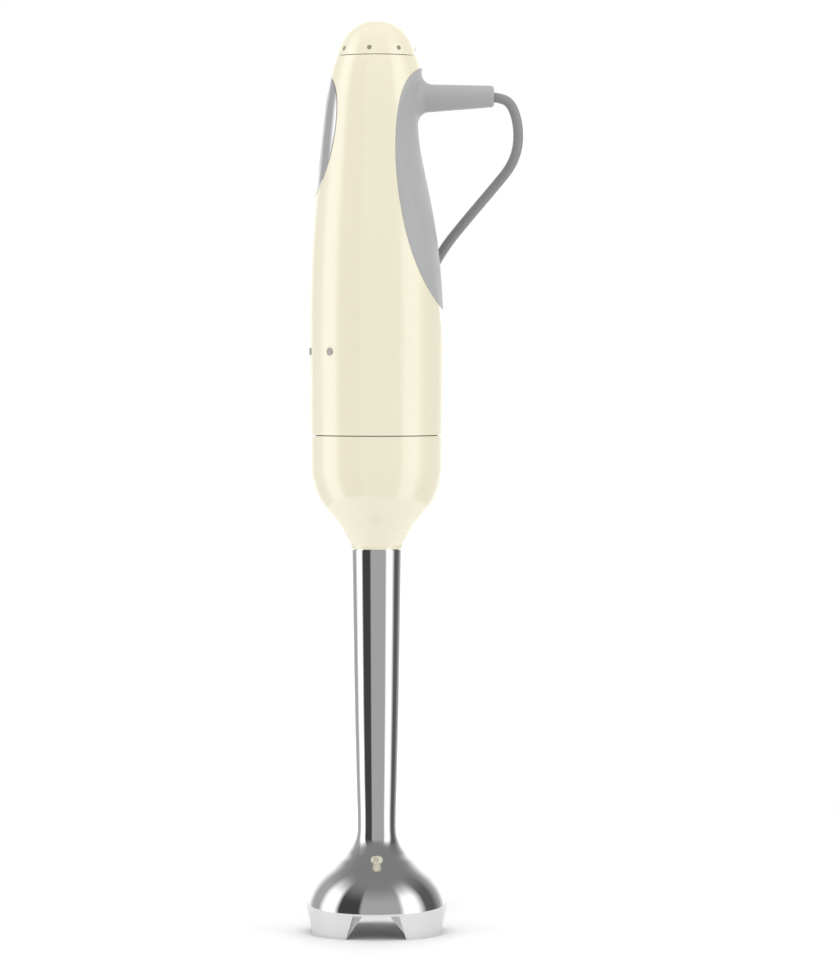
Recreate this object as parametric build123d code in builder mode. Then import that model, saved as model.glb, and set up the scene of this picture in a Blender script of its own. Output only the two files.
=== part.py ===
"""A stick blender in two halves: a motor unit held in the hand and a steel blending foot that
twists off it. The origin is the centre of the bell's rim, where the drive axis meets the surface
that the blender stands on. +Z runs up the drive axis, -X is the button side, +X the cord side."""

import os
from math import copysign, cos, radians, sin, tan

from build123d import *

os.makedirs("parts", exist_ok=True)

# ---------------------------------------------------------------- driving sizes, in millimetres
# heights, stacked from the rim of the bell
bell_height = 46.0
tube_length = 124.7
collar_height = 50.3
seam_gap = 0.4
housing_length = 167.1
dial_gap = 0.3
dial_height = 16.4

# outside radii
bell_r = 31.3
throat_r = 8.9
tube_top_r = 11.4
collar_mouth_r = 11.8
seam_r = 30.1
belly_r = 30.3
dial_joint_r = 18.4

# walls and clearances
wall = 2.4
steel = 0.9
seam_line = 0.1
fit_gap = 0.15
slide_gap = 0.4
running_gap = 0.05
inside_gap = 0.4

# bayonet between the two halves
spigot_r = 19.0
spigot_wall = 2.2
spigot_height = 16.0
lug_reach = 2.2
lug_height = 4.0
lug_rise = 8.0
lug_angle = 24.0
lug_count = 3
twist_angle = 40.0
seal_width = 4.0
seal_height = 1.8

# drive line
shaft_r = 3.0
bearing_height = 6.0
coupling_r = 9.5
dog_r = 7.2
dog_height = 9.0
dog_angle = 36.0
dog_lag = 20.0
blade_reach = 25.0
blade_width = 9.0
blade_thickness = 1.2
blade_height = 15.0

# motor
can_r = 21.0
can_wall = 1.5
can_length = 47.0
cap_length = 11.5
damper_width = 2.6
motor_clear = 31.8
rotor_shaft_r = 2.5
rotor_bearing_r = 6.5
rotor_bearing_height = 4.0
air_gap = 0.6
core_length = 26.0
magnet_thickness = 3.0
commutator_r = 6.0
slot_count = 12

# buttons and dial
button_travel = 1.5
button_wall = 3.0
button_rise = 0.2
button_gap = 0.3
button_flange = 1.2
button_split = 0.5
bezel_half_width = 16.7
bezel_above = 27.2
bezel_below = 26.8
bezel_rise = 0.3
bezel_band = 5.6
plunger_r = 1.7
button_spring_r = 3.0
spring_wire = 0.5
dial_hub_r = 5.0
dial_mark_count = 8
dial_mark_r = 1.0
pot_r = 8.0
pot_height = 6.0
badge_pip_r = 1.7
badge_drop = 130.3

# cord, its spout and its plug
cord_d = 4.4
spout_reach = 52.0
spout_tip_r = 4.75
spout_root_r = 7.1
spout_blend = 5.0
hank_width = 35.4
hank_length = 69.0
hank_height = 9.2
hank_waist = 4.0
hank_shift = 5.0
tie_width = 5.0
tie_thickness = 0.8
plug_width = 20.5
plug_height = 12.0
plug_length = 20.0
plug_neck = 7.0
blade_gap = 12.7
blade_out = 16.5
prong_width = 6.35
prong_thickness = 1.5

# ---------------------------------------------------------------- places worked out from them
collar_z = bell_height + tube_length
seam_z = collar_z + collar_height
housing_z = seam_z + seam_gap
dial_z = housing_z + housing_length
deck_z = dial_z - wall
spout_z = dial_z - 17.4
bezel_z = dial_z - 36.0
split_z = bezel_z - 0.2
socket_r = seam_r - wall - fit_gap
lug_z = seam_z + lug_rise
lug_r = spigot_r + lug_reach
chamber_r = lug_r + slide_gap
frame_z = housing_z + spigot_height + 2.6
motor_z = housing_z + motor_clear
cap_z = motor_z + can_length
frame_top = cap_z + cap_length + inside_gap
commutator_z = cap_z - 5.0
core_z = motor_z + 11.0
damper_r = can_r + damper_width
post_r = damper_r + 0.1
pitch_angle = 360 / lug_count


def keep(builder, name):
    """Labels a finished piece and writes its STEP file."""
    builder.part.label = name
    export_step(builder.part, f"parts/{name}.step")


def ring(outer_r, inner_r, low, high):
    """A plain ring about the drive axis."""
    with BuildPart() as piece:
        with BuildSketch(Plane.XY.offset(low)):
            Circle(outer_r)
            Circle(inner_r, mode=Mode.SUBTRACT)
        extrude(amount=high - low)
    return piece.part


def disc(radius, low, high, x=0, y=0):
    """A plain upright disc or bar."""
    with BuildPart() as piece:
        with BuildSketch(Plane.XY.offset(low)):
            with Locations((x, y)):
                Circle(radius)
        extrude(amount=high - low)
    return piece.part


def block(x_size, y_size, low, high, x=0, y=0):
    """A plain upright block centred on x and y."""
    with BuildPart() as piece:
        with BuildSketch(Plane.XY.offset(low)):
            with Locations((x, y)):
                Rectangle(x_size, y_size)
        extrude(amount=high - low)
    return piece.part


def sector(outer_r, inner_r, low, high, start, sweep_angle):
    """A slice of a ring about the drive axis, from a start angle through a sweep angle."""
    with BuildPart() as piece:
        with BuildSketch(Plane.XY.offset(low)):
            with BuildLine():
                rim = CenterArc((0, 0), outer_r, start, sweep_angle)
                bore = CenterArc((0, 0), inner_r, start, sweep_angle)
                Line(rim @ 0, bore @ 0)
                Line(rim @ 1, bore @ 1)
            make_face()
        extrude(amount=high - low)
    return piece.part


def cylinder_x(radius, low, high, y, z):
    """A round bar along X."""
    with BuildPart() as piece:
        with BuildSketch(Plane.YZ.offset(low)):
            with Locations((y, z)):
                Circle(radius)
        extrude(amount=high - low)
    return piece.part


def screw(shank_r, length):
    """A pan-head screw with a cross recess, its head's underside at the origin, pointing up."""
    head_r = 1.9 * shank_r
    head_height = 1.4 * shank_r
    with BuildPart() as piece:
        with BuildSketch(Plane.XY.offset(-head_height)):
            Circle(head_r)
        extrude(amount=head_height)
        fillet(piece.faces().sort_by(Axis.Z)[0].edges(), 0.3 * head_height)
        with BuildSketch():
            Circle(shank_r)
        extrude(amount=length)
        chamfer(piece.faces().sort_by(Axis.Z)[-1].edges(), 0.3 * shank_r)
        with BuildSketch(Plane.XY.offset(-head_height)):
            Rectangle(1.8 * shank_r, 0.4 * shank_r)
            Rectangle(0.4 * shank_r, 1.8 * shank_r)
        extrude(amount=0.5 * head_height, mode=Mode.SUBTRACT)
    return piece.part


def coil_spring(radius, wire_r, length, turns):
    """An open coil spring standing on the origin along +Z."""
    path = Helix(pitch=length / turns, height=length, radius=radius)
    start = Plane(origin=path @ 0, z_dir=path % 0)
    with BuildPart() as piece:
        with BuildSketch(start):
            Circle(wire_r)
        sweep(path=path)
    return piece.part


# ---------------------------------------------------------------- the motor unit's outer form
def body_form(inset, low=housing_z, high=dial_z):
    """The round body, inset all over, between two heights."""
    with BuildPart() as form:
        with BuildSketch(Plane.XZ):
            with BuildLine():
                side = Spline(
                    (seam_r - inset, housing_z),
                    (belly_r - inset, housing_z + 22),
                    (belly_r - 1.4 - inset, dial_z - 76),
                    (belly_r - 5.9 - inset, dial_z - 32),
                    (dial_joint_r + 2.6 - inset, dial_z - 9),
                    (dial_joint_r - inset, dial_z),
                    tangents=((0.02, 1), (-0.42, 1)),
                )
                Polyline(side @ 1, (0, dial_z), (0, housing_z), side @ 0)
            make_face()
        revolve(axis=Axis.Z)
        with BuildSketch(Plane.XY.offset(low)):
            Circle(2 * belly_r)
        extrude(amount=high - low, mode=Mode.INTERSECT)
    return form.part


def scoop_form(inset):
    """A round form on an axis nearer the buttons. Its waist cuts the hollow for the hand's heel."""
    axis_x = -12.0
    back = [
        (belly_r + 0.3, housing_z - 1),
        (belly_r - 0.1, dial_z - 130),
        (belly_r - 0.8, dial_z - 111),
        (belly_r - 4.5, dial_z - 73.6),
        (belly_r - 9.0, dial_z - 50.7),
        (belly_r - 11.8, dial_z - 32.5),
        (belly_r - 11.4, dial_z - 19),
        (belly_r - 9.7, dial_z - 3),
        (belly_r - 8.8, dial_z + 1),
    ]
    with BuildPart() as form:
        with BuildSketch(Plane.XZ):
            with BuildLine():
                side = Spline(*[(x - inset, z) for x, z in back])
                Polyline(side @ 1, (axis_x, dial_z + 1), (axis_x, housing_z - 1), side @ 0)
            make_face()
        revolve(axis=Axis((axis_x, 0, 0), (0, 0, 1)))
    return form.part


def hand_form(inset, low=housing_z, high=dial_z):
    """The body with its waist cut, inset all over."""
    with BuildPart() as form:
        add(body_form(inset, low, high))
        add(scoop_form(inset), mode=Mode.INTERSECT)
    return form.part


def cover_region(shift):
    """The rear cover's share of the body as seen from the side, as a block through the body."""
    low = dial_z - 116
    high = dial_z - 3.6
    with BuildPart() as block:
        with BuildSketch(Plane.XZ):
            with BuildLine():
                edge = Spline(
                    (belly_r - 7.0 + shift, high),
                    (belly_r - 15.1 + shift, dial_z - 8.8),
                    (belly_r - 20.7 + shift, dial_z - 24),
                    (belly_r - 21.8 + shift, dial_z - 42),
                    (belly_r - 18.2 + shift, dial_z - 73.5),
                    (belly_r - 9.5 + shift, dial_z - 99),
                    (belly_r + 2.6 + shift, low),
                )
                Polyline(edge @ 1, (2 * spout_reach, low), (2 * spout_reach, high), edge @ 0)
            make_face()
        extrude(amount=2 * belly_r, both=True)
    return block.part


def egg_points(half_width, above, below):
    """Points round an upright egg: a blunter half ellipse above a rounder one."""
    points = []
    for angle in range(0, 360, 20):
        across, up = sin(radians(angle)), cos(radians(angle))
        height, bluntness = (above, 2.8) if up > 0 else (below, 2.3)
        y = copysign(half_width * abs(across) ** (2 / bluntness), across)
        z = copysign(height * abs(up) ** (2 / bluntness), up)
        points.append((y, bezel_z + z))
    return points


def bezel_block(inset):
    """The egg-shaped outline of the button surround, shrunk by inset, as a block on the -X side."""
    outline = egg_points(bezel_half_width - inset, bezel_above - inset, bezel_below - inset)
    with BuildPart() as piece:
        with BuildSketch(Plane.YZ.offset(-8)):
            with BuildLine():
                Spline(*outline, periodic=True)
            make_face()
        extrude(amount=-(belly_r + 2))
    return piece.part


def slab(low, high):
    """Everything between two heights, as a wide block."""
    with BuildPart() as block:
        with BuildSketch(Plane.XY.offset(low)):
            Rectangle(4 * belly_r, 4 * belly_r)
        extrude(amount=high - low)
    return block.part


outer_form = hand_form(0)
hollow_form = hand_form(wall, housing_z, deck_z)
inner_limit = hand_form(wall + inside_gap, housing_z, deck_z)

# ---------------------------------------------------------------- main housing
# one cream moulding, open at the bottom for the motor frame and at the back for the rear cover
badge_z = dial_z - badge_drop
badge_turns = (-48, -16, 16, 48)


def badge_pins(reach):
    """Four short round pins standing out of the button side."""
    with BuildPart() as pins:
        for turn in badge_turns:
            face = Plane.YZ.rotated((0, 0, 180 + turn)).offset(belly_r - 1.2)
            with BuildSketch(face):
                with Locations((0, badge_z)):
                    Circle(badge_pip_r)
            extrude(amount=reach)
    return pins.part


with BuildPart() as main_housing:
    add(outer_form)
    add(hollow_form, mode=Mode.SUBTRACT)
    add(cover_region(0), mode=Mode.SUBTRACT)
    add(bezel_block(-seam_line), mode=Mode.SUBTRACT)
    with BuildSketch(Plane.XY.offset(deck_z - 1)):
        Circle(dial_hub_r + slide_gap)
    extrude(amount=wall + 2, mode=Mode.SUBTRACT)
    add(badge_pins(4), mode=Mode.SUBTRACT)
keep(main_housing, "main_housing")

with BuildPart() as badge_pips:
    add(badge_pins(4))
    add(body_form(-0.3), mode=Mode.INTERSECT)
keep(badge_pips, "badge_pips")

# ---------------------------------------------------------------- rear cover with its cord spout
with BuildPart() as rear_cover:
    add(outer_form)
    with BuildSketch(Plane.YZ.offset(spout_reach)):
        with Locations((0, spout_z)):
            Circle(spout_tip_r)
    with BuildSketch(Plane.YZ.offset(5)):
        with Locations((0, spout_z - 1.4)):
            Circle(spout_root_r)
    loft()
    fillet(rear_cover.faces().sort_by(Axis.X)[-1].edges(), 1.2)
    join = [
        edge
        for edge in rear_cover.edges()
        if 10 < edge.bounding_box().min.X
        and edge.bounding_box().max.X < spout_reach - 10
        and abs(edge.center().Z - spout_z) < spout_root_r
    ]
    fillet(join, spout_blend)
    add(hollow_form, mode=Mode.SUBTRACT)
    add(cover_region(seam_line), mode=Mode.INTERSECT)
    add(cylinder_x(cord_d / 2 + fit_gap, 0, spout_reach + 1, 0, spout_z), mode=Mode.SUBTRACT)
keep(rear_cover, "rear_cover")

# ---------------------------------------------------------------- chrome surround and buttons
with BuildPart() as button_bezel:
    add(body_form(-bezel_rise))
    add(bezel_block(0), mode=Mode.INTERSECT)
    add(bezel_block(bezel_band), mode=Mode.SUBTRACT)
    add(body_form(wall), mode=Mode.SUBTRACT)
keep(button_bezel, "button_bezel")

spring_seat_x = -14.5
seat_thickness = 1.5
boss_x = spring_seat_x - 4.8
switch_x = -9.0
nub_reach = 1.0
plunger_tip_x = switch_x - nub_reach - button_travel - fit_gap
start_z = split_z + 9.5
turbo_z = split_z - 9.5


def lip_form():
    """The lip that keeps both buttons behind the surround."""
    with BuildPart() as lip:
        add(body_form(button_wall - 0.1))
        add(bezel_block(bezel_band - button_flange), mode=Mode.INTERSECT)
        add(body_form(button_wall + 1.3), mode=Mode.SUBTRACT)
    return lip.part


def make_button(low, high, plunger_z):
    """A curved cap flush with the body, a lip behind the surround, and a plunger."""
    with BuildPart() as button:
        add(body_form(-button_rise))
        add(bezel_block(bezel_band + button_gap), mode=Mode.INTERSECT)
        add(body_form(button_wall), mode=Mode.SUBTRACT)
        add(lip_form())
        add(cylinder_x(button_spring_r + 0.6, boss_x - 3, boss_x, 0, plunger_z))
        add(cylinder_x(plunger_r, boss_x - 3, plunger_tip_x, 0, plunger_z))
        add(slab(low, high), mode=Mode.INTERSECT)
    return button


start_button = make_button(split_z + button_split / 2, dial_z, start_z)
keep(start_button, "start_button")
turbo_button = make_button(housing_z, split_z - button_split / 2, turbo_z)
keep(turbo_button, "turbo_button")

for spring_name, spring_z in (("start_spring", start_z), ("turbo_spring", turbo_z)):
    spring_plane = Plane(origin=(boss_x + 0.3, 0, spring_z), z_dir=(1, 0, 0))
    with BuildPart() as spring:
        add(spring_plane * coil_spring(button_spring_r - 0.4, spring_wire / 2, 4.2, 4))
    keep(spring, spring_name)

# ---------------------------------------------------------------- speed dial
# a domed cap on a hub that grips the potentiometer's flatted shaft
dial_low = dial_z + dial_gap
dial_high = dial_low + dial_height


def dome_form(inset):
    """The dial's dome, inset all over."""
    with BuildPart() as form:
        with BuildSketch(Plane.XZ):
            with BuildLine():
                side = Spline(
                    (dial_joint_r - 0.1 - inset, dial_low),
                    (dial_joint_r - 3.3 - inset, dial_low + 0.48 * dial_height),
                    (0, dial_high - inset),
                    tangents=((-0.35, 1), (-1, 0)),
                )
                Polyline(side @ 1, (0, dial_low), side @ 0)
            make_face()
        revolve(axis=Axis.Z)
    return form.part


def dial_studs(outer_r, inner_r):
    """Round studs standing out radially all round the dial's skirt."""
    with BuildPart() as studs:
        for number in range(dial_mark_count):
            turn = -10 - 90 + number * 360 / dial_mark_count
            with BuildSketch(Plane.YZ.rotated((0, 0, turn)).offset(inner_r)):
                with Locations((0, dial_low + 2.9)):
                    Circle(dial_mark_r)
            extrude(amount=outer_r - inner_r)
    return studs.part


def dial_ribs():
    """Six upright ribs that tie the hub to the dome."""
    with BuildPart() as ribs:
        for number in range(6):
            with BuildSketch(Plane.XZ.rotated((0, 0, number * 60)).offset(-0.6)):
                with Locations((dial_hub_r - 0.5 + dial_joint_r / 2, dial_low + 2.5 + dial_height / 2)):
                    Rectangle(dial_joint_r, dial_height)
            extrude(amount=1.2)
        add(dome_form(wall / 2), mode=Mode.INTERSECT)
    return ribs.part


dial_shaft_r = 3.0
shaft_top = dial_low + 9.0
with BuildPart() as speed_dial:
    add(dome_form(0))
    add(dome_form(wall), mode=Mode.SUBTRACT)
    with BuildSketch(Plane.XY.offset(deck_z - 0.2)):
        Circle(dial_hub_r)
    extrude(amount=shaft_top + 2 - deck_z)
    add(dial_ribs())
    add(disc(dial_shaft_r, deck_z - 1, shaft_top), mode=Mode.SUBTRACT)
    add(dial_studs(dial_joint_r + 1, dial_joint_r - 2.4), mode=Mode.SUBTRACT)
keep(speed_dial, "speed_dial")

with BuildPart() as dial_marks:
    add(dial_studs(dial_joint_r + 1, dial_joint_r - 2.4))
    add(dome_form(-0.05), mode=Mode.INTERSECT)
keep(dial_marks, "dial_marks")

pot_z = deck_z - 0.4 - pot_height
with BuildPart() as dial_shaft:
    with BuildSketch(Plane.XY.offset(pot_z + 1)):
        Circle(dial_shaft_r)
    extrude(amount=shaft_top - pot_z - 1)
    chamfer(dial_shaft.edges().group_by(Axis.Z)[-1], 0.4)
keep(dial_shaft, "dial_shaft")

with BuildPart() as speed_potentiometer:
    with BuildSketch(Plane.XY.offset(pot_z)):
        Circle(pot_r)
    extrude(amount=pot_height)
    with BuildSketch(Plane.XY.offset(pot_z + 0.95)):
        Circle(dial_shaft_r + running_gap)
    extrude(amount=pot_height, mode=Mode.SUBTRACT)
    with BuildSketch(Plane.XY.offset(pot_z + 1)):
        with Locations((0, -pot_r - 1)):
            Rectangle(9, 5)
    extrude(amount=1.2)
keep(speed_potentiometer, "speed_potentiometer")

# ---------------------------------------------------------------- bayonet socket and its seal
recess_height = seal_height + 0.4
side_play = 4.0
seal_inner_r = chamber_r + 0.1
seal_outer_r = seal_inner_r + seal_width
screw_ring_r = (chamber_r + socket_r) / 2
lug_spots = [number * pitch_angle for number in range(lug_count)]
screw_spots = [spot + pitch_angle * 0.67 for spot in lug_spots]
screw_shank_r = 1.5
screw_seat_z = housing_z + recess_height + 2.1
frame_plate = 3.0
coupling_hole_r = coupling_r + 1.0


def around(radius, angles):
    """The places at one radius and several angles about the drive axis."""
    return [(radius * cos(radians(angle)), radius * sin(radians(angle))) for angle in angles]


with BuildPart() as bayonet_socket:
    add(ring(socket_r, spigot_r + slide_gap, housing_z, frame_z))
    recess = ring(seal_outer_r + 0.2, spigot_r, housing_z - 1, housing_z + recess_height)
    add(recess, mode=Mode.SUBTRACT)
    for spot in lug_spots:
        start = spot - lug_angle / 2 - side_play
        width = lug_angle + 2 * side_play
        low = lug_z - slide_gap
        high = lug_z + lug_height + slide_gap
        entry = sector(chamber_r, spigot_r - 1, housing_z, high, start, width)
        turn_room = sector(chamber_r, spigot_r - 1, low, high, start, width + twist_angle)
        add(entry, mode=Mode.SUBTRACT)
        add(turn_room, mode=Mode.SUBTRACT)
    for x, y in around(screw_ring_r, screw_spots):
        add(disc(screw_shank_r, housing_z, frame_z, x, y), mode=Mode.SUBTRACT)
        add(disc(2 * screw_shank_r, housing_z, screw_seat_z, x, y), mode=Mode.SUBTRACT)
keep(bayonet_socket, "bayonet_socket")

with BuildPart() as socket_screws:
    for x, y in around(screw_ring_r, screw_spots):
        add(Pos(x, y, screw_seat_z) * screw(screw_shank_r, frame_z + frame_plate - screw_seat_z))
keep(socket_screws, "socket_screws")

with BuildPart() as foot_seal:
    add(ring(seal_outer_r, seal_inner_r, seam_z + 0.1, housing_z + seal_height - 0.1))
    fillet(foot_seal.edges(), 0.4)
keep(foot_seal, "foot_seal")

# ---------------------------------------------------------------- motor frame
post_spots = (60, 180, 300)
post_width = 34
frame_screw_r = 1.1
frame_screw_ring_r = can_r + 2.2
with BuildPart() as motor_frame:
    add(ring(socket_r, coupling_hole_r, frame_z, frame_z + frame_plate))
    for spot in post_spots:
        start = spot - post_width / 2
        add(sector(socket_r, post_r, frame_z + 1, frame_top, start, post_width))
        add(sector(socket_r, can_r + 0.3, cap_z + 3, frame_top, spot - 7, 14))
    add(ring(socket_r, post_r, frame_top - 3, frame_top))
    add(inner_limit, mode=Mode.INTERSECT)
    for x, y in around(screw_ring_r, screw_spots):
        add(disc(screw_shank_r, frame_z, frame_z + frame_plate, x, y), mode=Mode.SUBTRACT)
    for x, y in around(frame_screw_ring_r, post_spots):
        add(disc(frame_screw_r, frame_top - 8, frame_top, x, y), mode=Mode.SUBTRACT)
keep(motor_frame, "motor_frame")

# ---------------------------------------------------------------- motor, fixed pieces
bearing_seat_wall = 1.6
with BuildPart() as motor_can:
    add(ring(can_r, can_r - can_wall, motor_z, cap_z))
    add(ring(can_r, rotor_bearing_r, motor_z, motor_z + can_wall))
    seat_r = rotor_bearing_r + bearing_seat_wall
    add(ring(seat_r, rotor_bearing_r, motor_z, motor_z + rotor_bearing_height + 1))
    for number in range(6):
        for x, y in around(14.0, [number * 60 + 30]):
            add(disc(3.0, motor_z, motor_z + can_wall, x, y), mode=Mode.SUBTRACT)
keep(motor_can, "motor_can")

brush_size = 4.0
brush_gap = 0.1
brush_length = 6.5
brush_z = commutator_z + 5.5
brush_bore = brush_size + 0.2
cap_wall = 2.0
cap_top = cap_z + cap_length
holder_wall = 1.2


def bar_y(size, near, far, z):
    """A square bar along Y, on both sides of the drive axis."""
    with BuildPart() as piece:
        with BuildSketch(Plane.XZ.offset(-far)):
            with Locations((0, z)):
                Rectangle(size, size)
        extrude(amount=far - near)
        mirror(about=Plane.XZ)
    return piece.part


with BuildPart() as motor_end_cap:
    add(ring(can_r, can_r - cap_wall, cap_z, cap_top))
    add(ring(can_r - 1, rotor_bearing_r, cap_top - 3.5, cap_top))
    add(ring(rotor_bearing_r + 1.6, rotor_bearing_r, cap_top - 5, cap_top))
    add(bar_y(brush_bore + 2 * holder_wall, commutator_r + 1.5, can_r - 1, brush_z))
    add(bar_y(brush_bore, commutator_r, can_r - cap_wall, brush_z), mode=Mode.SUBTRACT)
    add(slab(cap_z, cap_top), mode=Mode.INTERSECT)
keep(motor_end_cap, "motor_end_cap")

with BuildPart() as carbon_brushes:
    add(bar_y(brush_size, commutator_r + brush_gap, commutator_r + brush_gap + brush_length, brush_z))
keep(carbon_brushes, "carbon_brushes")

spring_start = commutator_r + brush_gap + brush_length + 0.25
spring_room = can_r - cap_wall - 0.25 - spring_start
with BuildPart() as brush_springs:
    for side in (1, -1):
        seat = Plane(origin=(0, side * spring_start, brush_z), z_dir=(0, side, 0))
        add(seat * coil_spring(1.5, 0.2, spring_room, 5))
keep(brush_springs, "brush_springs")

magnet_r = can_r - can_wall
with BuildPart() as magnets:
    for start in (-65, 115):
        add(sector(magnet_r, magnet_r - magnet_thickness, core_z - 4, cap_z - 3, start, 130))
keep(magnets, "magnets")


def rotor_bearing(low):
    """A small ball bearing: two races, a ring of balls, and a bore for the rotor's shaft."""
    return ball_bearing(rotor_bearing_r, rotor_shaft_r + running_gap, rotor_bearing_height, low)


def ball_bearing(outer_r, bore_r, height, low):
    """A shielded ball bearing: two races with a shield set back between them."""
    race = 0.28 * (outer_r - bore_r)
    with BuildPart() as bearing:
        add(ring(outer_r, bore_r, low, low + height))
        add(ring(outer_r - race, bore_r + race, low, low + 0.4), mode=Mode.SUBTRACT)
        add(ring(outer_r - race, bore_r + race, low + height - 0.4, low + height), mode=Mode.SUBTRACT)
    return bearing.part


with BuildPart() as lower_motor_bearing:
    add(rotor_bearing(motor_z + 1))
keep(lower_motor_bearing, "lower_motor_bearing")
with BuildPart() as upper_motor_bearing:
    add(rotor_bearing(cap_top - rotor_bearing_height))
keep(upper_motor_bearing, "upper_motor_bearing")

damper_height = 6.0
with BuildPart() as motor_dampers:
    for low in (motor_z + 4, cap_z - 4):
        add(ring(damper_r, can_r, low, low + damper_height))
keep(motor_dampers, "motor_dampers")

# ---------------------------------------------------------------- rotor
core_r = magnet_r - magnet_thickness - air_gap
slot_ring_r = 0.74 * core_r
slot_r = 1.5
slot_spots = [number * 360 / slot_count for number in range(slot_count)]
winding_height = 4.5
with BuildPart() as armature_core:
    add(ring(core_r, rotor_shaft_r, core_z, core_z + core_length))
    for spot in slot_spots:
        for x, y in around(slot_ring_r, [spot]):
            add(disc(slot_r, core_z, core_z + core_length, x, y), mode=Mode.SUBTRACT)
        mouth = sector(core_r + 1, slot_ring_r, core_z, core_z + core_length, spot - 1.8, 3.6)
        add(mouth, mode=Mode.SUBTRACT)
keep(armature_core, "armature_core")

with BuildPart() as armature_windings:
    for low in (core_z - winding_height, core_z + core_length):
        add(ring(slot_ring_r + slot_r, rotor_shaft_r + 2, low, low + winding_height))
    fillet(armature_windings.edges().filter_by(GeomType.CIRCLE), 1.2)
    for x, y in around(slot_ring_r, slot_spots):
        add(disc(slot_r - 0.1, core_z - 1, core_z + core_length + 1, x, y))
keep(armature_windings, "armature_windings")

commutator_height = 10.0
with BuildPart() as commutator:
    add(ring(commutator_r, rotor_shaft_r, commutator_z, commutator_z + commutator_height))
    for spot in slot_spots:
        gap = sector(commutator_r + 1, commutator_r - 0.6, commutator_z + 1.5, cap_top, spot - 2, 4)
        add(gap, mode=Mode.SUBTRACT)
keep(commutator, "commutator")

coupling_top = frame_z + frame_plate + 2.0
coupling_low = lug_z + 1.0
pocket_top = coupling_low + dog_height + 1.0
with BuildPart() as motor_shaft:
    with BuildSketch(Plane.XY.offset(pocket_top + 0.5)):
        Circle(rotor_shaft_r)
    extrude(amount=cap_top - pocket_top - 0.5)
    chamfer(motor_shaft.edges().group_by(Axis.Z)[-1], 0.4)
    chamfer(motor_shaft.edges().group_by(Axis.Z)[0], 0.4)
keep(motor_shaft, "motor_shaft")

fan_z = coupling_top + 0.5
fan_height = motor_z - 1.0 - fan_z
fan_r = can_r - 1.0
with BuildPart() as cooling_fan:
    add(ring(fan_r, rotor_shaft_r, fan_z, fan_z + 1.0))
    add(ring(rotor_shaft_r + 2.2, rotor_shaft_r, fan_z, fan_z + fan_height))
    for number in range(9):
        face = Plane.XY.rotated((0, 0, number * 40)).offset(fan_z + 0.5)
        with BuildSketch(face):
            with BuildLine():
                inner = ThreePointArc((4, 0), (12, 2.4), (fan_r - 0.3, 0.0))
                outer = ThreePointArc((4, 1), (12, 3.4), (fan_r - 0.3, 1.0))
                Line(inner @ 0, outer @ 0)
                Line(inner @ 1, outer @ 1)
            make_face()
        extrude(amount=fan_height - 0.5)
keep(cooling_fan, "cooling_fan")

# ---------------------------------------------------------------- drive coupling, motor's half
dog_spots = (0, 180)
with BuildPart() as drive_coupling:
    add(disc(coupling_r, coupling_low, coupling_top))
    add(disc(dog_r + 0.3, coupling_low - 1, pocket_top), mode=Mode.SUBTRACT)
    for spot in dog_spots:
        start = spot - dog_angle / 2
        add(sector(dog_r + 0.6, shaft_r + 2.2, coupling_low, pocket_top, start, dog_angle))
    add(disc(rotor_shaft_r, pocket_top, coupling_top + 1), mode=Mode.SUBTRACT)
    chamfer(drive_coupling.faces().sort_by(Axis.Z)[-1].outer_wire().edges(), 1.0)
keep(drive_coupling, "drive_coupling")

# ---------------------------------------------------------------- upper frame
spine_x = -1.0
spine_thickness = 2.5
spine_width = 24.0
shelf_thickness = 2.5
shelf_low = pot_z - shelf_thickness
clamp_x = 10.0
clamp_length = 6.0
clamp_width = 18.0
clamp_low = spout_z - 6.0
clamp_high = spout_z + 4.0
clamp_screw_y = 6.0
clamp_screw_r = 1.2
back_x = spine_x + spine_thickness
with BuildPart() as upper_frame:
    add(disc(socket_r, frame_top, frame_top + 2.5))
    add(block(spine_thickness, spine_width, frame_top, pot_z, spine_x + spine_thickness / 2))
    add(disc(13.5, shelf_low, pot_z))
    add(inner_limit, mode=Mode.INTERSECT)
    # the web that the button springs push on
    web_low = turbo_z - 6
    web_high = start_z + 6
    web_x = spring_seat_x + seat_thickness / 2
    add(block(seat_thickness, 13, web_low, web_high, web_x))
    for side in (1, -1):
        rail_length = spine_x - spring_seat_x
        add(block(rail_length, 1.6, web_low, web_high, spring_seat_x + rail_length / 2, side * 7.2))
    for z in (start_z, turbo_z):
        add(cylinder_x(plunger_r + 0.3, spring_seat_x - 1, spring_seat_x + 3, 0, z), mode=Mode.SUBTRACT)
    # the saddle that the cord lies in
    saddle_length = clamp_x + clamp_length / 2 - back_x
    add(block(saddle_length, clamp_width, clamp_low, spout_z, back_x + saddle_length / 2))
    add(cylinder_x(cord_d / 2, back_x + 2, clamp_x + clamp_length, 0, spout_z), mode=Mode.SUBTRACT)
    for side in (1, -1):
        hole = disc(clamp_screw_r, clamp_low, spout_z, clamp_x, side * clamp_screw_y)
        add(hole, mode=Mode.SUBTRACT)
    for x, y in around(frame_screw_ring_r, post_spots):
        add(disc(frame_screw_r, frame_top, frame_top + 2.5, x, y), mode=Mode.SUBTRACT)
keep(upper_frame, "upper_frame")

with BuildPart() as frame_screws:
    for x, y in around(frame_screw_ring_r, post_spots):
        add(Pos(x, y, frame_top + 2.5) * (Rot(180, 0, 0) * screw(frame_screw_r, 9.0)))
keep(frame_screws, "frame_screws")

with BuildPart() as cord_clamp:
    add(block(clamp_length, clamp_width, spout_z, clamp_high, clamp_x))
    add(cylinder_x(cord_d / 2, 0, spout_reach, 0, spout_z), mode=Mode.SUBTRACT)
    for side in (1, -1):
        hole = disc(clamp_screw_r, spout_z, clamp_high, clamp_x, side * clamp_screw_y)
        add(hole, mode=Mode.SUBTRACT)
keep(cord_clamp, "cord_clamp")

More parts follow.
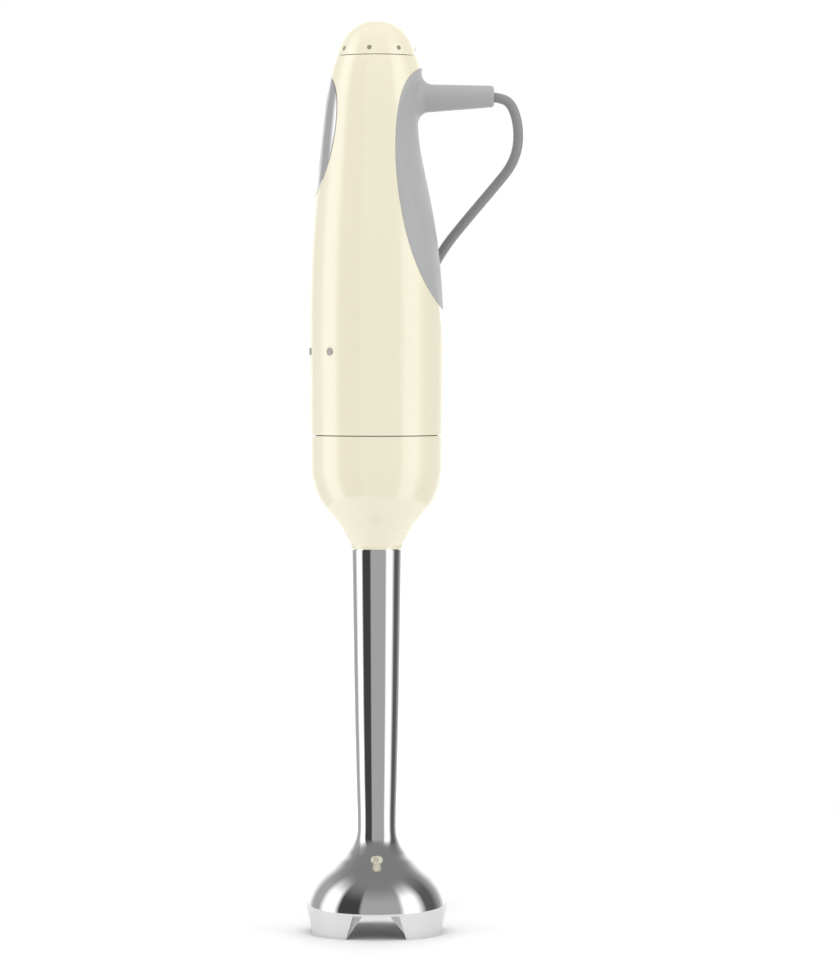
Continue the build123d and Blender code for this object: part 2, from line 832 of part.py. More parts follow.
with BuildPart() as clamp_screws:
    for side in (1, -1):
        place = Pos(clamp_x, side * clamp_screw_y, clamp_high) * Rot(180, 0, 0)
        add(place * screw(clamp_screw_r, clamp_high - clamp_low - 1.0))
keep(clamp_screws, "clamp_screws")

# ---------------------------------------------------------------- foot collar and spigot
# the cream collar carries the foot: its spigot's lugs turn under the socket's ledge
hub_wall = 2.4
neck_r = tube_top_r - 1.0
neck_top = collar_z + 20.0
with BuildPart() as foot_collar:
    with BuildSketch(Plane.XZ):
        with BuildLine():
            side = Spline(
                (collar_mouth_r, collar_z),
                (collar_mouth_r + 1.6, collar_z + 4),
                (0.55 * seam_r, collar_z + 9.2),
                (0.84 * seam_r, collar_z + 19.5),
                (seam_r - 0.9, collar_z + 30),
                (seam_r, seam_z),
                tangents=((0.05, 1), (0.02, 1)),
            )
            Polyline(side @ 1, (0, seam_z), (0, collar_z), side @ 0)
        make_face()
    revolve(axis=Axis.Z)
    with BuildSketch(Plane.XZ):
        with BuildLine():
            inside = Spline(
                (neck_r + hub_wall, collar_z + 10.5),
                (0.84 * seam_r - wall - 1.6, collar_z + 20),
                (seam_r - wall - 0.9, collar_z + 30),
                (seam_r - wall, seam_z),
                tangents=((0.8, 1), (0.02, 1)),
            )
            Polyline(inside @ 1, (neck_r + hub_wall, seam_z), inside @ 0)
        make_face()
    revolve(axis=Axis.Z, mode=Mode.SUBTRACT)
    add(disc(neck_r, collar_z, seam_z), mode=Mode.SUBTRACT)
    add(disc(neck_r + hub_wall + 0.1, neck_top, seam_z), mode=Mode.SUBTRACT)
keep(foot_collar, "foot_collar")

spigot_flange = 3.0
spigot_top = seam_z + spigot_height
spigot_bore_r = spigot_r - spigot_wall
flange_r = seam_r - wall - 0.05
with BuildPart() as bayonet_spigot:
    add(ring(spigot_r, spigot_bore_r, seam_z - spigot_flange, spigot_top))
    add(ring(flange_r, spigot_bore_r, seam_z - spigot_flange - 0.1, seam_z - 0.1))
    for spot in lug_spots:
        start = spot - lug_angle / 2
        add(sector(lug_r, spigot_bore_r + 0.5, lug_z, lug_z + lug_height, start, lug_angle))
    # the well that hangs from the flange and sits on the neck of the tube
    add(ring(spigot_r, neck_r + 1.0, seam_z - spigot_flange - 2.0, seam_z - spigot_flange))
    add(ring(neck_r + 3.4, neck_r + 1.0, neck_top, seam_z - spigot_flange))
    chamfer(bayonet_spigot.faces().sort_by(Axis.Z)[-1].edges(), 0.5)
keep(bayonet_spigot, "bayonet_spigot")

# ---------------------------------------------------------------- steel foot
# tube and bell drawn as one thin skin, with four notches in the rim
bell_curve = [
    (bell_r, 0),
    (bell_r, 0.24 * bell_height),
    (bell_r - 1.8, 0.4 * bell_height),
    (bell_r - 6.1, 0.55 * bell_height),
    (bell_r - 13.4, 0.705 * bell_height),
    (throat_r + 4.9, 0.785 * bell_height),
    (throat_r + 0.9, 0.9 * bell_height),
    (throat_r, bell_height + 1),
]
notch_count = 4
notch_height = 10.5
notch_top_width = 20.5
notch_bottom_width = 26.5
notch_corner_r = 3.0


def inset_points(curve, inset, count):
    """Points along a curve that climbs from the rim, moved inwards square to it."""
    points = []
    for number in range(count + 1):
        where = number / count
        tangent = curve % where
        inwards = Vector(-tangent.Y, tangent.X)
        points.append(curve @ where + inwards * inset)
    return points


def foot_skin(inset):
    """Bell and tube as a solid about the axis, its outside inset square to the curve."""
    with BuildLine(mode=Mode.PRIVATE) as outline:
        bell = Spline(*bell_curve, tangents=((0, 1), (0, 1)))
        tube = Spline(
            bell @ 1,
            (throat_r + 0.55, bell_height + 0.18 * tube_length),
            (throat_r + 1.4, bell_height + 0.46 * tube_length),
            (tube_top_r, collar_z - 0.3 - inset),
            tangents=((0, 1), (0.01, 1)),
        )
    with BuildPart() as form:
        with BuildSketch(Plane.XZ):
            with BuildLine():
                low = Spline(*inset_points(bell, inset, 12), tangents=((0, 1), (0, 1)))
                high = Spline(low @ 1, *inset_points(tube, inset, 5)[1:], tangents=((0, 1), (0.01, 1)))
                Polyline(
                    high @ 1,
                    (neck_r - inset, collar_z - 0.3 - inset),
                    (neck_r - inset, neck_top),
                    (0, neck_top),
                    (0, 0),
                    low @ 0,
                )
            make_face()
        revolve(axis=Axis.Z)
    return form.part


with BuildPart() as steel_foot:
    add(foot_skin(0))
    add(foot_skin(steel), mode=Mode.SUBTRACT)
    for number in range(notch_count // 2):
        with BuildSketch(Plane.XZ.rotated((0, 0, number * 360 / notch_count))) as notch:
            Polygon(
                (-notch_bottom_width / 2, -1),
                (notch_bottom_width / 2, -1),
                (notch_top_width / 2, notch_height),
                (-notch_top_width / 2, notch_height),
                align=None,
            )
            fillet(notch.vertices().group_by(Axis.Y)[-1], notch_corner_r)
        extrude(amount=2 * bell_r, both=True, mode=Mode.SUBTRACT)
keep(steel_foot, "steel_foot")

# ---------------------------------------------------------------- bearings in the foot
bore_r = throat_r - steel
housing_low = bell_height - 11.0
housing_top = bell_height + 13.0
bush_r = shaft_r + 2.0
seal_lip_height = 3.5
with BuildPart() as bearing_housing:
    add(ring(bore_r - 0.05, shaft_r + 0.6, housing_low, housing_top))
    add(disc(bush_r, housing_low - 1, housing_top - 2), mode=Mode.SUBTRACT)
    chamfer(bearing_housing.faces().sort_by(Axis.Z)[0].outer_wire().edges(), 0.8)
keep(bearing_housing, "bearing_housing")

with BuildPart() as lower_bush:
    add(ring(bush_r, shaft_r + running_gap, housing_low + seal_lip_height, housing_top - 2))
keep(lower_bush, "lower_bush")

with BuildPart() as lip_seal:
    add(ring(bush_r, shaft_r + running_gap, housing_low, housing_low + seal_lip_height))
    groove = ring(bush_r - 0.7, shaft_r + 0.7, housing_low - 1, housing_low + 2)
    add(groove, mode=Mode.SUBTRACT)
keep(lip_seal, "lip_seal")

upper_bearing_z = neck_top - bearing_height - 1.0
with BuildPart() as upper_bearing:
    add(ball_bearing(neck_r - steel, shaft_r + running_gap, bearing_height, upper_bearing_z))
keep(upper_bearing, "upper_bearing")

# ---------------------------------------------------------------- drive shaft, coupling, blade
wing_low = coupling_low + 0.6
wing_top = coupling_low + dog_height
nut_height = 3.0
hub_height = 4.0
shaft_low = blade_height - hub_height / 2 - nut_height - 1.5
thread_r = shaft_r - 1.0
with BuildPart() as drive_shaft:
    add(disc(shaft_r, blade_height + hub_height / 2, wing_top - 2))
    add(disc(thread_r, shaft_low, blade_height + hub_height))
    chamfer(drive_shaft.faces().sort_by(Axis.Z)[0].edges(), 0.4)
keep(drive_shaft, "drive_shaft")

with BuildPart() as driven_coupling:
    add(ring(shaft_r + 1.8, shaft_r, wing_low - 8, wing_low))
    add(disc(shaft_r + 1.8, wing_low, wing_top))
    for spot in dog_spots:
        start = spot + dog_angle / 2 + dog_lag
        add(sector(dog_r, shaft_r + 1, wing_low, wing_top, start, dog_angle))
    add(disc(shaft_r, wing_low - 1, wing_top - 2), mode=Mode.SUBTRACT)
    chamfer(driven_coupling.faces().sort_by(Axis.Z)[-1].outer_wire().edges(), 0.5)
keep(driven_coupling, "driven_coupling")

hub_r = 5.5
tip_lift = 4.0
bend_x = 0.52 * blade_reach
with BuildPart() as blade:
    # one wing bent up and one bent down, seen from the side
    with BuildSketch(Plane.XZ):
        with BuildLine():
            lower = Polyline(
                (-blade_reach, blade_height - tip_lift),
                (-bend_x, blade_height - blade_thickness / 2),
                (bend_x, blade_height - blade_thickness / 2),
                (blade_reach, blade_height + tip_lift - blade_thickness),
            )
            upper = Polyline(
                (-blade_reach, blade_height - tip_lift + blade_thickness),
                (-bend_x, blade_height + blade_thickness / 2),
                (bend_x, blade_height + blade_thickness / 2),
                (blade_reach, blade_height + tip_lift),
            )
            Line(lower @ 0, upper @ 0)
            Line(lower @ 1, upper @ 1)
        make_face()
    extrude(amount=blade_width / 2, both=True)
    # its plan: two leaves that narrow towards rounded tips
    with BuildSketch():
        Circle(hub_r)
        for side in (1, -1):
            with BuildLine():
                edge = Polyline(
                    (0, -side * blade_width / 2),
                    (side * 0.55 * blade_reach, -side * blade_width / 2),
                    (side * 0.97 * blade_reach, -side * 0.12 * blade_width),
                    (side * 0.97 * blade_reach, side * 0.12 * blade_width),
                    (side * 0.5 * blade_reach, side * blade_width / 2),
                    (0, side * blade_width / 2),
                    close=True,
                )
            make_face()
    extrude(amount=2 * blade_height, mode=Mode.INTERSECT)
    add(disc(hub_r, blade_height - hub_height / 2, blade_height + hub_height / 2))
    add(disc(thread_r, 0, 2 * blade_height), mode=Mode.SUBTRACT)
keep(blade, "blade")

with BuildPart() as blade_nut:
    with BuildSketch(Plane.XY.offset(blade_height - hub_height / 2 - nut_height)):
        RegularPolygon(4.2, 6)
        Circle(thread_r, mode=Mode.SUBTRACT)
    extrude(amount=nut_height)
keep(blade_nut, "blade_nut")

# ---------------------------------------------------------------- inside electrics
board_thickness = 1.6
board_x = back_x + 2.0
board_low = frame_top + 5.0
board_high = clamp_low - 3.0
board_width = 22.0
board_front = board_x + board_thickness
with BuildPart() as control_board:
    board_middle = board_x + board_thickness / 2
    add(block(board_thickness, board_width, board_low, board_high, board_middle))
    for y in (-board_width / 2 + 2.5, board_width / 2 - 2.5):
        for z in (board_low + 2.5, board_high - 2.5):
            add(cylinder_x(1.2, board_x - 1, board_x + 3, y, z), mode=Mode.SUBTRACT)
keep(control_board, "control_board")

with BuildPart() as board_screws:
    for y in (-board_width / 2 + 2.5, board_width / 2 - 2.5):
        for z in (board_low + 2.5, board_high - 2.5):
            seat = Plane(origin=(board_front, y, z), z_dir=(-1, 0, 0))
            add(seat * screw(1.0, board_front - back_x - 0.1))
keep(board_screws, "board_screws")

with BuildPart() as suppression_capacitor:
    add(block(6.5, 15, board_low + 7, board_low + 19, board_front + 3.25))
    fillet(suppression_capacitor.faces().sort_by(Axis.X)[-1].edges(), 0.8)
keep(suppression_capacitor, "suppression_capacitor")

with BuildPart() as heat_sink:
    add(block(1.5, 12, board_low + 22, board_low + 36, board_front + 3.2))
    for y in (-5, -2.5, 0, 2.5, 5):
        add(block(4.0, 1.0, board_low + 22, board_low + 36, board_front + 5.5, y))
keep(heat_sink, "heat_sink")

with BuildPart() as triac:
    add(block(2.45, 9, board_low + 23, board_low + 33, board_front + 1.225))
keep(triac, "triac")

switch_depth = spine_x - switch_x
for switch_name, switch_z in (("start_switch", start_z), ("turbo_switch", turbo_z)):
    with BuildPart() as switch:
        middle = switch_x + switch_depth / 2
        add(block(switch_depth, 12.4, switch_z - 3.2, switch_z + 3.2, middle))
        fillet(switch.edges().filter_by(Axis.X), 0.5)
        add(cylinder_x(1.0, switch_x - nub_reach, switch_x + 1, 0, switch_z))
    keep(switch, switch_name)

# ---------------------------------------------------------------- power cord and its plug
# out of the spout, down behind the body and the shaft, and along the surface to a tied hank;
# the hank's runs lie along Y, and the cord goes in and comes out along its -X side
hank_start = 73.0
hank_z = tie_thickness + hank_height / 2
hank_top = tie_thickness + hank_height
route = [
    (44.0, 0.0, 371.1),
    (55.4, 0.0, 371.1),
    (61.0, 0.4, 366.2),
    (63.7, 1.0, 353.6),
    (60.9, 2.6, 341.6),
    (51.6, 7.2, 330.4),
    (39.6, 13.2, 316.4),
    (28.4, 20.6, 302.6),
    (15.0, 32.5, 277.0),
    (4.2, 39.2, 244.0),
    (0.5, 41.0, 205.0),
    (-0.9, 39.5, 164.0),
    (0.5, 41.0, 120.0),
    (1.2, 39.4, 80.0),
    (0.4, 40.4, 50.0),
    (-1.2, 43.0, 25.5),
    (-5.2, 51.0, 8.6),
    (-9.2, 62.4, 3.4),
    (-10.4, 73.0, 3.0),
]
tail_route = [
    (16.0, 126.0, 12.2),
    (15.7, 119.5, 12.6),
    (13.0, 113.5, 13.6),
    (8.6, 109.0, 14.6),
    (5.9, 104.3, 15.5),
    (5.0, 98.0, 16.0),
]


def corner_radii(points):
    """Each corner's radius: as large as its two runs leave room for."""
    radii = []
    for before, corner, after in zip(points, points[1:], points[2:]):
        arriving = Vector(*corner) - Vector(*before)
        leaving = Vector(*after) - Vector(*corner)
        turn = radians(arriving.get_angle(leaving))
        radii.append(0.45 * min(arriving.length, leaving.length) / tan(turn / 2))
    return radii


def cord_tube(points):
    """A round tube along straight runs joined by tangent arcs."""
    radii = corner_radii(points)
    with BuildPart() as tube:
        with BuildLine() as path:
            FilletPolyline(*points, radius=radii)
        with BuildSketch(Plane(origin=path.line @ 0, z_dir=path.line % 0)):
            Circle(cord_d / 2)
        sweep(path=path.line)
    length = sum(edge.length for edge in path.edges())
    print("cord radii in diameters", [round(radius / cord_d, 1) for radius in radii])
    print("length", round(length, 1), "section", round(tube.part.volume / length, 2))
    return tube


power_cord = cord_tube(route)
keep(power_cord, "power_cord")
cord_tail = cord_tube(tail_route)
keep(cord_tail, "cord_tail")

with BuildPart() as cord_lead:
    add(cylinder_x(cord_d / 2, back_x + 3, route[0][0], 0, spout_z))
keep(cord_lead, "cord_lead")

hank_middle_y = hank_start + hank_length / 2
waist_r = 40.0
with BuildPart() as cord_hank:
    with BuildSketch(Plane.XY.offset(tie_thickness)):
        with Locations((hank_shift, hank_middle_y)):
            RectangleRounded(hank_width, hank_length, cord_d / 2)
        side_x = hank_width / 2 - hank_waist + waist_r
        with Locations((hank_shift + side_x, hank_middle_y), (hank_shift - side_x, hank_middle_y)):
            Circle(waist_r, mode=Mode.SUBTRACT)
    extrude(amount=hank_height)
keep(cord_hank, "cord_hank")

with BuildPart() as cord_tie:
    with BuildSketch(Plane.XZ.offset(-hank_middle_y - tie_width / 2)):
        with Locations((hank_shift, hank_z)):
            inner_width = hank_width - 2 * hank_waist + 0.2
            tie_height = hank_height + 2 * tie_thickness
            RectangleRounded(inner_width + 2 * tie_thickness, tie_height, 2 * tie_thickness)
            Rectangle(inner_width, hank_height, mode=Mode.SUBTRACT)
    extrude(amount=tie_width)
keep(cord_tie, "cord_tie")

# the plug lies on the hank, its blades pointing back towards the bell
plug_x = tail_route[-1][0]
plug_z = hank_top + plug_height / 2
plug_start_y = tail_route[-1][1]
plug_root_y = plug_start_y - plug_neck
plug_face_y = plug_root_y - plug_length
with BuildPart() as plug_body:
    with BuildSketch(Plane.XZ.offset(-plug_root_y)):
        with Locations((plug_x, plug_z)):
            RectangleRounded(plug_width, plug_height, 5.0)
    extrude(amount=plug_length)
    fillet(plug_body.faces().sort_by(Axis.Y)[-1].edges(), 3.0)
    with BuildSketch(Plane.XZ.offset(-plug_start_y)):
        with Locations((plug_x, plug_z)):
            Circle(cord_d / 2 + 0.8)
    with BuildSketch(Plane.XZ.offset(1 - plug_root_y)):
        with Locations((plug_x, plug_z)):
            Circle(0.42 * plug_height)
    loft()
    for side in (1, -1):
        with BuildSketch(Plane.XZ.offset(-plug_face_y)):
            with Locations((plug_x + side * blade_gap / 2, plug_z)):
                Rectangle(prong_thickness, prong_width)
        extrude(amount=-8, mode=Mode.SUBTRACT)
keep(plug_body, "plug_body")

with BuildPart() as plug_prongs:
    for side in (1, -1):
        with BuildSketch(Plane.XZ.offset(blade_out - plug_face_y)):
            with Locations((plug_x + side * blade_gap / 2, plug_z)):
                Rectangle(prong_thickness, prong_width)
        extrude(amount=-blade_out - 8)
    tips = plug_prongs.faces().sort_by(Axis.Y)[:2]
    fillet(tips.edges().filter_by(Axis.X), 2.0)
keep(plug_prongs, "plug_prongs")
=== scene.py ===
"""A stick blender in cream and chrome, standing on its steel bell, with its cord put away behind it."""

from math import atan2, cos, pi, radians, sin, sqrt

import bmesh
import bpy
from mathutils import Matrix, Vector


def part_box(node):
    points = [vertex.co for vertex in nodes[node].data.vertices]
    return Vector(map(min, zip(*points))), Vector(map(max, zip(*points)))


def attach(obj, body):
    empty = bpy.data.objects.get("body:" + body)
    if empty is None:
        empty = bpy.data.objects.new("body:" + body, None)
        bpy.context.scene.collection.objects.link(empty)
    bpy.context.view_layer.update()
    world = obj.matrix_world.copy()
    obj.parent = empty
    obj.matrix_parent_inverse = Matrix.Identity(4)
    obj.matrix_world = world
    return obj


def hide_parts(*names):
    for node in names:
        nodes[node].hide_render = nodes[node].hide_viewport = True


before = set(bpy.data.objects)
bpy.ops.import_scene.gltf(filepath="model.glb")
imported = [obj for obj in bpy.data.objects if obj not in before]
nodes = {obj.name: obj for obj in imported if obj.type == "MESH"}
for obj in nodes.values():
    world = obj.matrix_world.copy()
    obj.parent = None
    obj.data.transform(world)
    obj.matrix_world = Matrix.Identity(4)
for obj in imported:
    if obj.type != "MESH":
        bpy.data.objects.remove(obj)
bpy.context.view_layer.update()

mm = 0.001

# ------------------------------------------------------------------ camera
# It stands well back on the blender's flank, at the height of the hand, with the keys on the left
# and the cord's spout on the right, and looks very slightly down at the blender's middle.
camera_back = 1.90
camera_height = 0.260
seen_height = 0.4333
view_centre = Vector((0.0188, 0, 0.1976))

camera_data = bpy.data.cameras.new("camera")
camera = bpy.data.objects.new("camera", camera_data)
bpy.context.scene.collection.objects.link(camera)
bpy.context.scene.camera = camera
camera.location = (view_centre.x, -camera_back, camera_height)
camera.rotation_euler = (pi / 2 - atan2(camera_height - view_centre.z, camera_back), 0, 0)
camera_data.sensor_fit = "AUTO"
film_width = 36.0
camera_data.sensor_width = film_width
camera_data.lens = film_width * camera_back / seen_height
camera_data.clip_end = 20.0

# ------------------------------------------------------------------ power cord
# A round two-core lead in grey rubber, moulded into the spout's strain relief. It bends over under
# its own weight, passes behind the body and ends in a small tied hank on the worktop, with its plug lying on top.
cord_width = 4.4 * mm
cord_route = [
    (44.0, 0.0, 371.1),
    (55.4, 0.0, 371.1),
    (61.0, 0.4, 366.2),
    (63.4, 1.0, 353.6),
    (60.9, 2.6, 341.6),
    (51.6, 7.2, 330.4),
    (39.6, 13.2, 316.4),
    (28.4, 20.6, 302.6),
    (15.0, 32.5, 277.0),
    (4.2, 39.2, 244.0),
    (0.5, 41.0, 205.0),
    (-0.9, 39.5, 164.0),
    (0.5, 41.0, 120.0),
    (1.2, 39.4, 80.0),
    (0.4, 40.4, 50.0),
    (-1.2, 43.0, 25.5),
    (-5.2, 51.0, 8.6),
    (-9.2, 62.4, 3.4),
    (-10.4, 73.0, 3.0),
]
tail_route = [
    (-10.4, 130.6, 8.2),
    (-6.4, 137.2, 9.4),
    (2.4, 139.8, 10.6),
    (11.4, 137.2, 11.6),
    (15.8, 131.4, 12.1),
    (16.0, 126.0, 12.2),
    (15.7, 119.5, 12.6),
    (13.0, 113.5, 13.6),
    (8.6, 109.0, 14.6),
    (5.9, 104.3, 15.5),
    (5.0, 98.0, 16.0),
]
hank_low, hank_high = (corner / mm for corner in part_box("cord_hank"))
hank_middle = (hank_low + hank_high) / 2
outer, inner = 15.3, 10.9
layers = (hank_low.z + 2.25, hank_low.z + 6.75)
half_straight = (hank_high.y - hank_low.y) / 2 - cord_width / 2 / mm - outer
tie_pinch = 4.0


def hank_turn(widths, levels):
    """One turn of the hank from twelve widths and levels: up the -X side, round, down and round."""
    points = []
    for step, (width, level) in enumerate(zip(widths, levels)):
        quarter, part = divmod(step, 3)
        height = layers[0] + (layers[1] - layers[0]) * level
        side = -1 if quarter < 2 else 1
        if quarter in (0, 2):
            pinch = tie_pinch * width / outer if part == 1 else 0
            across, along = side * (width - pinch), -side * (part - 1) * half_straight
        else:
            swing = radians(45 * (part - 1))
            across, along = -side * width * sin(swing), -side * (half_straight + width * cos(swing))
        points.append((hank_middle.x + across, hank_middle.y + along, height))
    return points


hank_points = hank_turn([outer] * 11 + [13.0], [0] * 12)
hank_points += hank_turn([inner] * 12, [0] * 9 + [0.5, 1, 1])
hank_points += hank_turn([inner] * 7 + [13.0] + [outer] * 4, [1] * 12)
hank_points += hank_turn([outer] * 3, [1] * 3)
cord_points = cord_route + hank_points + tail_route
cord_curve = bpy.data.curves.new("power_lead", "CURVE")
cord_curve.dimensions = "3D"
cord_spline = cord_curve.splines.new("NURBS")
cord_spline.points.add(len(cord_points) - 1)
for place, point in zip(cord_spline.points, cord_points):
    place.co = (point[0] * mm, point[1] * mm, point[2] * mm, 1)
    place.radius = cord_width / 2
cord_spline.order_u = 3
cord_spline.use_endpoint_u = True
cord_spline.resolution_u = 8
cord_curve.bevel_depth = 1.0
cord_curve.bevel_resolution = 6
cord_curve.use_fill_caps = True
power_lead = bpy.data.objects.new("power_lead", cord_curve)
bpy.context.scene.collection.objects.link(power_lead)
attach(power_lead, "motor_unit")
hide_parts("power_cord", "cord_hank", "cord_tail")


# The lead's sheath is extruded: nearly even, with a slight satin sheen and a faint pulled grain.
class Wire:
    """A shader socket that can be used in a sum, and the nodes that go with it."""

    tree = None

    def __init__(self, socket):
        self.socket = socket

    @classmethod
    def node(cls, kind, settings=(), **inputs):
        """Adds a node, sets it up and joins its sockets; gives the node back."""
        made = cls.tree.nodes.new(kind)
        for name, value in dict(settings).items():
            if name == "stops":
                ramp = made.color_ramp
                while len(ramp.elements) < len(value):
                    ramp.elements.new(1.0)
                for element, (place, colour) in zip(ramp.elements, value):
                    element.position = place
                    element.color = colour
            else:
                setattr(made, name, value)
        for name, value in inputs.items():
            label = name.replace("_", " ")
            socket = made.inputs[int(label[1:])] if label[0] == "i" and label[1:].isdigit() else made.inputs[label]
            if isinstance(value, Wire):
                cls.tree.links.new(value.socket, socket)
            else:
                socket.default_value = value
        return made

    @classmethod
    def out(cls, made, name=0):
        return cls(made.outputs[name])

    def _sum(self, other, operation, swap=False):
        first, second = (other, self) if swap else (self, other)
        made = Wire.node("ShaderNodeMath", {"operation": operation}, i0=first, i1=second)
        return Wire(made.outputs[0])

    def __add__(self, other):
        return self._sum(other, "ADD")

    __radd__ = __add__

    def __sub__(self, other):
        return self._sum(other, "SUBTRACT")

    def __rsub__(self, other):
        return self._sum(other, "SUBTRACT", True)

    def __mul__(self, other):
        return self._sum(other, "MULTIPLY")

    __rmul__ = __mul__


def srgb(red, green, blue):
    """A colour given in 0-255 display values, as the shader wants it."""
    def linear(value):
        value /= 255
        return value / 12.92 if value <= 0.04045 else ((value + 0.055) / 1.055) ** 2.4
    return (linear(red), linear(green), linear(blue), 1.0)


def finish_of(name, colour, shade, roughness, spread, grain, bump=0.0, metallic=0.0, coat=0.0, stretch=(1, 1, 1)):
    """A material whose colour drifts towards a shade and whose roughness varies with a fine grain.

    grain is the size of the grain's features in metres, and stretch draws them out along an axis."""
    material = bpy.data.materials.new(name)
    material.use_nodes = True
    Wire.tree = material.node_tree
    surface = material.node_tree.nodes["Principled BSDF"]
    place = Wire.out(Wire.node("ShaderNodeTexCoord"), "Object")
    mapped = Wire.out(Wire.node("ShaderNodeMapping", Vector=place, Scale=stretch), "Vector")
    fine = Wire.out(Wire.node("ShaderNodeTexNoise", Vector=mapped, Scale=0.5 / grain, Detail=3.0), "Fac")
    broad = Wire.out(Wire.node("ShaderNodeTexNoise", Vector=mapped, Scale=0.02 / grain, Detail=2.0), "Fac")
    mixed = Wire.node("ShaderNodeMix", {"data_type": "RGBA"}, i0=broad, i6=colour, i7=shade)
    material.node_tree.links.new(mixed.outputs[2], surface.inputs["Base Color"])
    rough = roughness + (fine - 0.5) * spread + (broad - 0.5) * spread
    material.node_tree.links.new(rough.socket, surface.inputs["Roughness"])
    surface.inputs["Metallic"].default_value = metallic
    surface.inputs["Coat Weight"].default_value = coat
    surface.inputs["Coat Roughness"].default_value = 0.04
    if bump:
        raised = Wire.node("ShaderNodeBump", Height=fine, Strength=1.0, Distance=bump)
        material.node_tree.links.new(raised.outputs[0], surface.inputs["Normal"])
    return material


cord_rubber = finish_of(
    "cord_rubber", srgb(152, 152, 153), srgb(138, 138, 140), 0.46, 0.10, 0.6 * mm, bump=0.02 * mm
)
power_lead.data.materials.append(cord_rubber)

# ------------------------------------------------------------------ worktop and light
# A small white worktop in a white room. Tall soft lamps and black screens stand round the blender,
# so that its polished steel carries upright bands of white, grey and near black.
floor_mesh = bpy.data.meshes.new("floor")
shape = bmesh.new()
bmesh.ops.create_circle(shape, cap_ends=True, segments=96, radius=0.30)
bmesh.ops.translate(shape, verts=shape.verts, vec=(0, 0.06, 0))
shape.to_mesh(floor_mesh)
shape.free()
floor = bpy.data.objects.new("floor", floor_mesh)
bpy.context.scene.collection.objects.link(floor)
worktop_white = finish_of("worktop_white", (0.96, 0.96, 0.96, 1), (0.955, 0.955, 0.955, 1), 0.7, 0.04, 4 * mm)
floor.data.materials.append(worktop_white)

bpy.context.scene.view_settings.view_transform = "Standard"
room = bpy.data.worlds.new("studio")
bpy.context.scene.world = room
room.use_nodes = True
Wire.tree = room.node_tree
room_light = room.node_tree.nodes["Background"]

# The light that comes from what stands round the blender, at angles in degrees from the front: a
# white backdrop behind, a grey wall in front and one at the back left, a lamp on each side, and a
# dark screen beside each lamp, ahead of the left one and behind the right one.
lamp_light, wall_light, screen_light, dim_screen_light, ceiling_light = 1.7, 0.5, 0.07, 0.13, 0.28
studio = [
    (-180, lamp_light), (-155, lamp_light), (-130, wall_light), (-110, wall_light),
    (-95, lamp_light), (-75, lamp_light), (-65, screen_light), (-30, screen_light),
    (-25, wall_light), (40, wall_light), (50, lamp_light), (70, lamp_light),
    (90, dim_screen_light), (110, dim_screen_light), (130, wall_light),
    (155, lamp_light), (180, lamp_light),
]
stops = [((angle + 180) / 360, (light, light, light, 1)) for angle, light in studio]
towards = Wire.node("ShaderNodeSeparateXYZ", Vector=Wire.out(Wire.node("ShaderNodeTexCoord"), "Generated"))
east, north, up = (Wire.out(towards, axis) for axis in "XYZ")
round_from_front = Wire.out(Wire.node("ShaderNodeMath", {"operation": "ARCTAN2"}, i0=east, i1=0 - north))
bands = Wire.out(Wire.node("ShaderNodeValToRGB", {"stops": stops}, Fac=round_from_front * (0.5 / pi) + 0.5))
height_share = Wire.out(Wire.node("ShaderNodeMapRange", {"interpolation_type": "SMOOTHSTEP"}, Value=up,
                                  i1=0.45, i2=0.93, i3=0.0, i4=1.0))
mixed_sky = Wire.node("ShaderNodeMix", {"data_type": "RGBA"}, i0=height_share,
                      i6=bands, i7=(ceiling_light, ceiling_light, ceiling_light, 1))
reflected = Wire.out(mixed_sky, 2)
sight = Wire.node("ShaderNodeLightPath")
ambient = 0.86
soft = Wire.node("ShaderNodeMix", {"data_type": "RGBA"}, i0=Wire.out(sight, "Is Glossy Ray"),
                 i6=(ambient, ambient, ambient, 1), i7=reflected)
seen = Wire.node("ShaderNodeMix", {"data_type": "RGBA"}, i0=Wire.out(sight, "Is Camera Ray"),
                 i6=Wire.out(soft, 2), i7=(1.0, 1.0, 1.0, 1))
room.node_tree.links.new(seen.outputs[2], room_light.inputs["Color"])


def soft_lamp(name, place, width, height, power, aim=(0, 0, 0.22)):
    """A rectangular soft box at a place, turned to face the blender and not seen in its steel."""
    data = bpy.data.lights.new(name, "AREA")
    data.shape = "RECTANGLE"
    data.size = width
    data.size_y = height
    data.energy = power
    lamp = bpy.data.objects.new(name, data)
    bpy.context.scene.collection.objects.link(lamp)
    lamp.location = place
    lamp.rotation_euler = (Vector(aim) - Vector(place)).to_track_quat("-Z", "Y").to_euler()
    lamp.visible_glossy = False
    lamp.visible_camera = False


soft_lamp("left_box", (-1.6, -0.5, 0.6), 0.7, 1.4, 5.0)
soft_lamp("right_box", (1.6, -0.4, 0.6), 0.7, 1.4, 4.5)
soft_lamp("top_box", (0.1, -0.2, 1.9), 1.4, 1.2, 7.0)
soft_lamp("back_box", (0.2, 1.7, 0.9), 1.4, 1.0, 4.0)


# ------------------------------------------------------------------ plug and tie
# The plug is moulded onto the cord's end in the same grey rubber, with two folded brass blades.
# The hank is held by one strap of black hook-and-loop tape, wrapped once round its waist.
def dress(material, *names):
    """Gives a material to nodes that keep their shape."""
    for name in names:
        for place in nodes[name].material_slots:
            place.material = material
        if not nodes[name].material_slots:
            nodes[name].data.materials.append(material)


